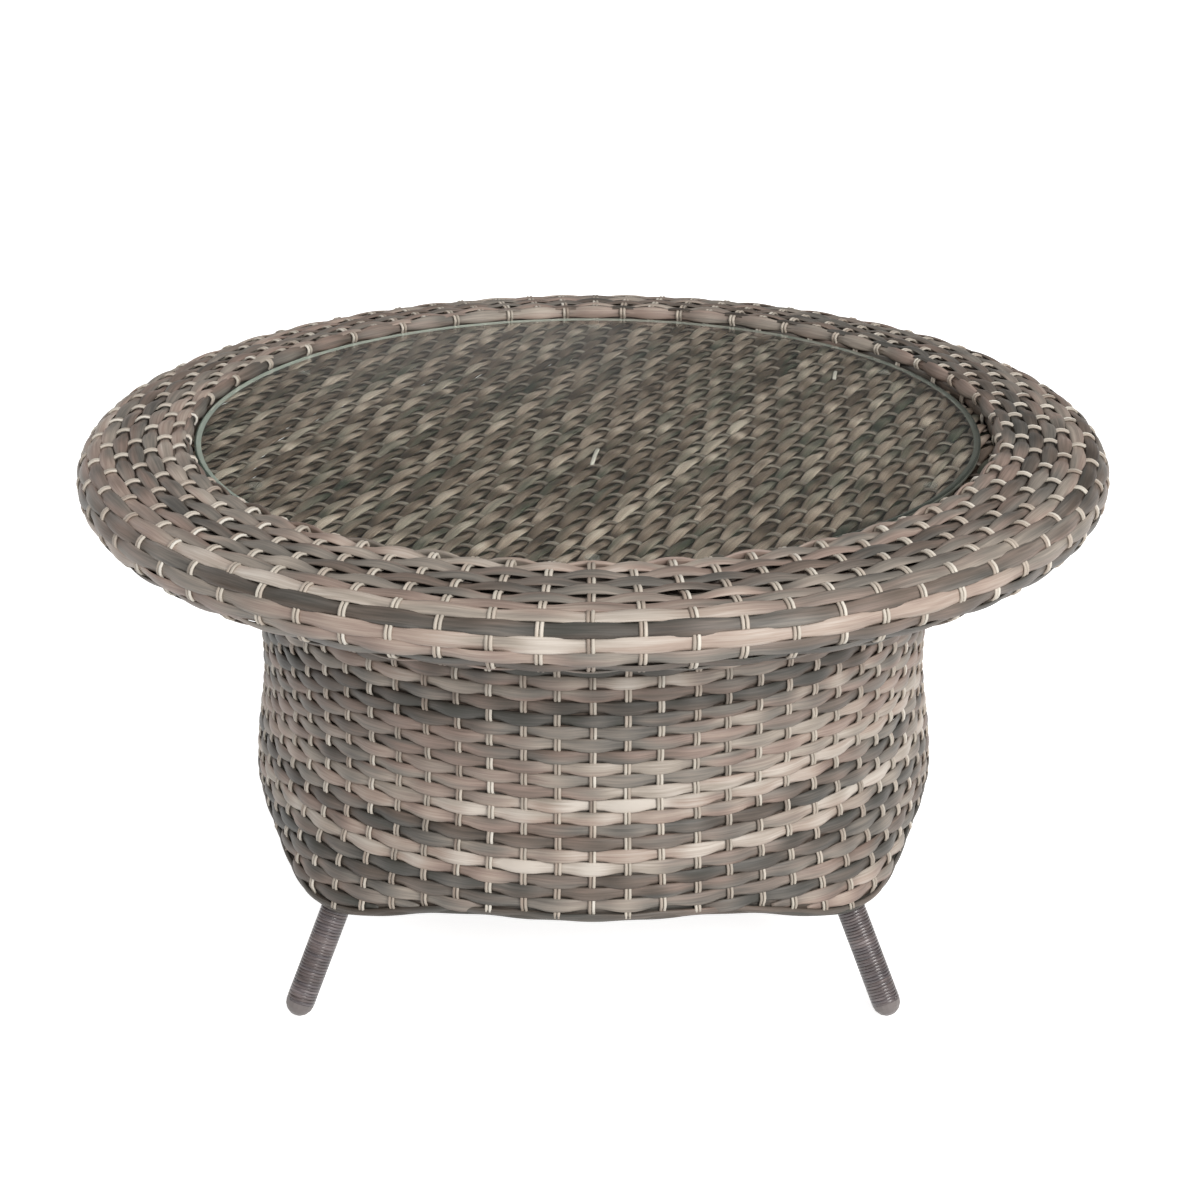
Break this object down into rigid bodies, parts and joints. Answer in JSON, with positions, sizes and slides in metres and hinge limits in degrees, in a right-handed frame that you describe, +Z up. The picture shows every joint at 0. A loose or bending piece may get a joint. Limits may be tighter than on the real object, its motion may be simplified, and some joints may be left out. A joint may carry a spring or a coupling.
{
  "type": "wicker coffee table",
  "caption": "Round outdoor coffee table with a woven resin rim and barrel base, splayed legs and a loose glass disc set into the top.",
  "frame": {"origin": "on the floor under the centre of the table", "axes": "+Z up; the front of the table faces -Y; the legs stand on the diagonals between X and Y"},
  "size_m": [0.9132, 0.9132, 0.4681],
  "materials": {
    "rim_wicker": "woven resin strand, mixed grey, brown and cream",
    "body_wicker": "woven resin strand, mixed grey, brown and cream",
    "deck_wicker": "woven resin strand under the glass",
    "clear_glass": "clear tempered glass, polished edge",
    "clear_pad": "clear soft pad",
    "coated_tube": "brown powder coat",
    "leg_strand": "fine strand wrapped round the tube, satin",
    "glide_plastic": "dark moulded cap",
    "plate_metal": "plain plate",
    "bolt_steel": "plain bolt"
  },
  "bodies": {
    "table": {"rim_weave": "rim_wicker", "body_weave": "body_wicker", "deck_weave": "deck_wicker", "glass_pad_1": "clear_pad", "glass_pad_2": "clear_pad", "glass_pad_3": "clear_pad", "glass_pad_4": "clear_pad", "glass_pad_5": "clear_pad", "glass_pad_6": "clear_pad", "top_outer_ring": "coated_tube", "top_inner_ring": "coated_tube", "deck_support_ring": "coated_tube", "top_bar_long": "coated_tube", "top_bar_left": "coated_tube", "top_bar_right": "coated_tube", "ring_post_1": "coated_tube", "ring_post_2": "coated_tube", "ring_post_3": "coated_tube", "ring_post_4": "coated_tube", "base_top_ring": "coated_tube", "bottom_rail_right": "coated_tube", "bottom_rail_back": "coated_tube", "bottom_rail_left": "coated_tube", "bottom_rail_front": "coated_tube", "leg_tube_1": "coated_tube", "leg_tube_2": "coated_tube", "leg_tube_3": "coated_tube", "leg_tube_4": "coated_tube", "leg_wrap_1": "leg_strand", "leg_wrap_2": "leg_strand", "leg_wrap_3": "leg_strand", "leg_wrap_4": "leg_strand", "foot_glide_1": "glide_plastic", "foot_glide_2": "glide_plastic", "foot_glide_3": "glide_plastic", "foot_glide_4": "glide_plastic", "mount_plate_1": "plate_metal", "mount_plate_2": "plate_metal", "mount_plate_3": "plate_metal", "mount_plate_4": "plate_metal", "mount_bolt_1": "bolt_steel", "mount_bolt_2": "bolt_steel", "mount_bolt_3": "bolt_steel", "mount_bolt_4": "bolt_steel"},
    "glass": {"glass_top": "clear_glass"}
  },
  "joints": [
    {"name": "glass_lift", "type": "slide", "parent": "table", "child": "glass", "axis": [0, 0, 1], "range_m": [0, 0.05]}
  ]
}
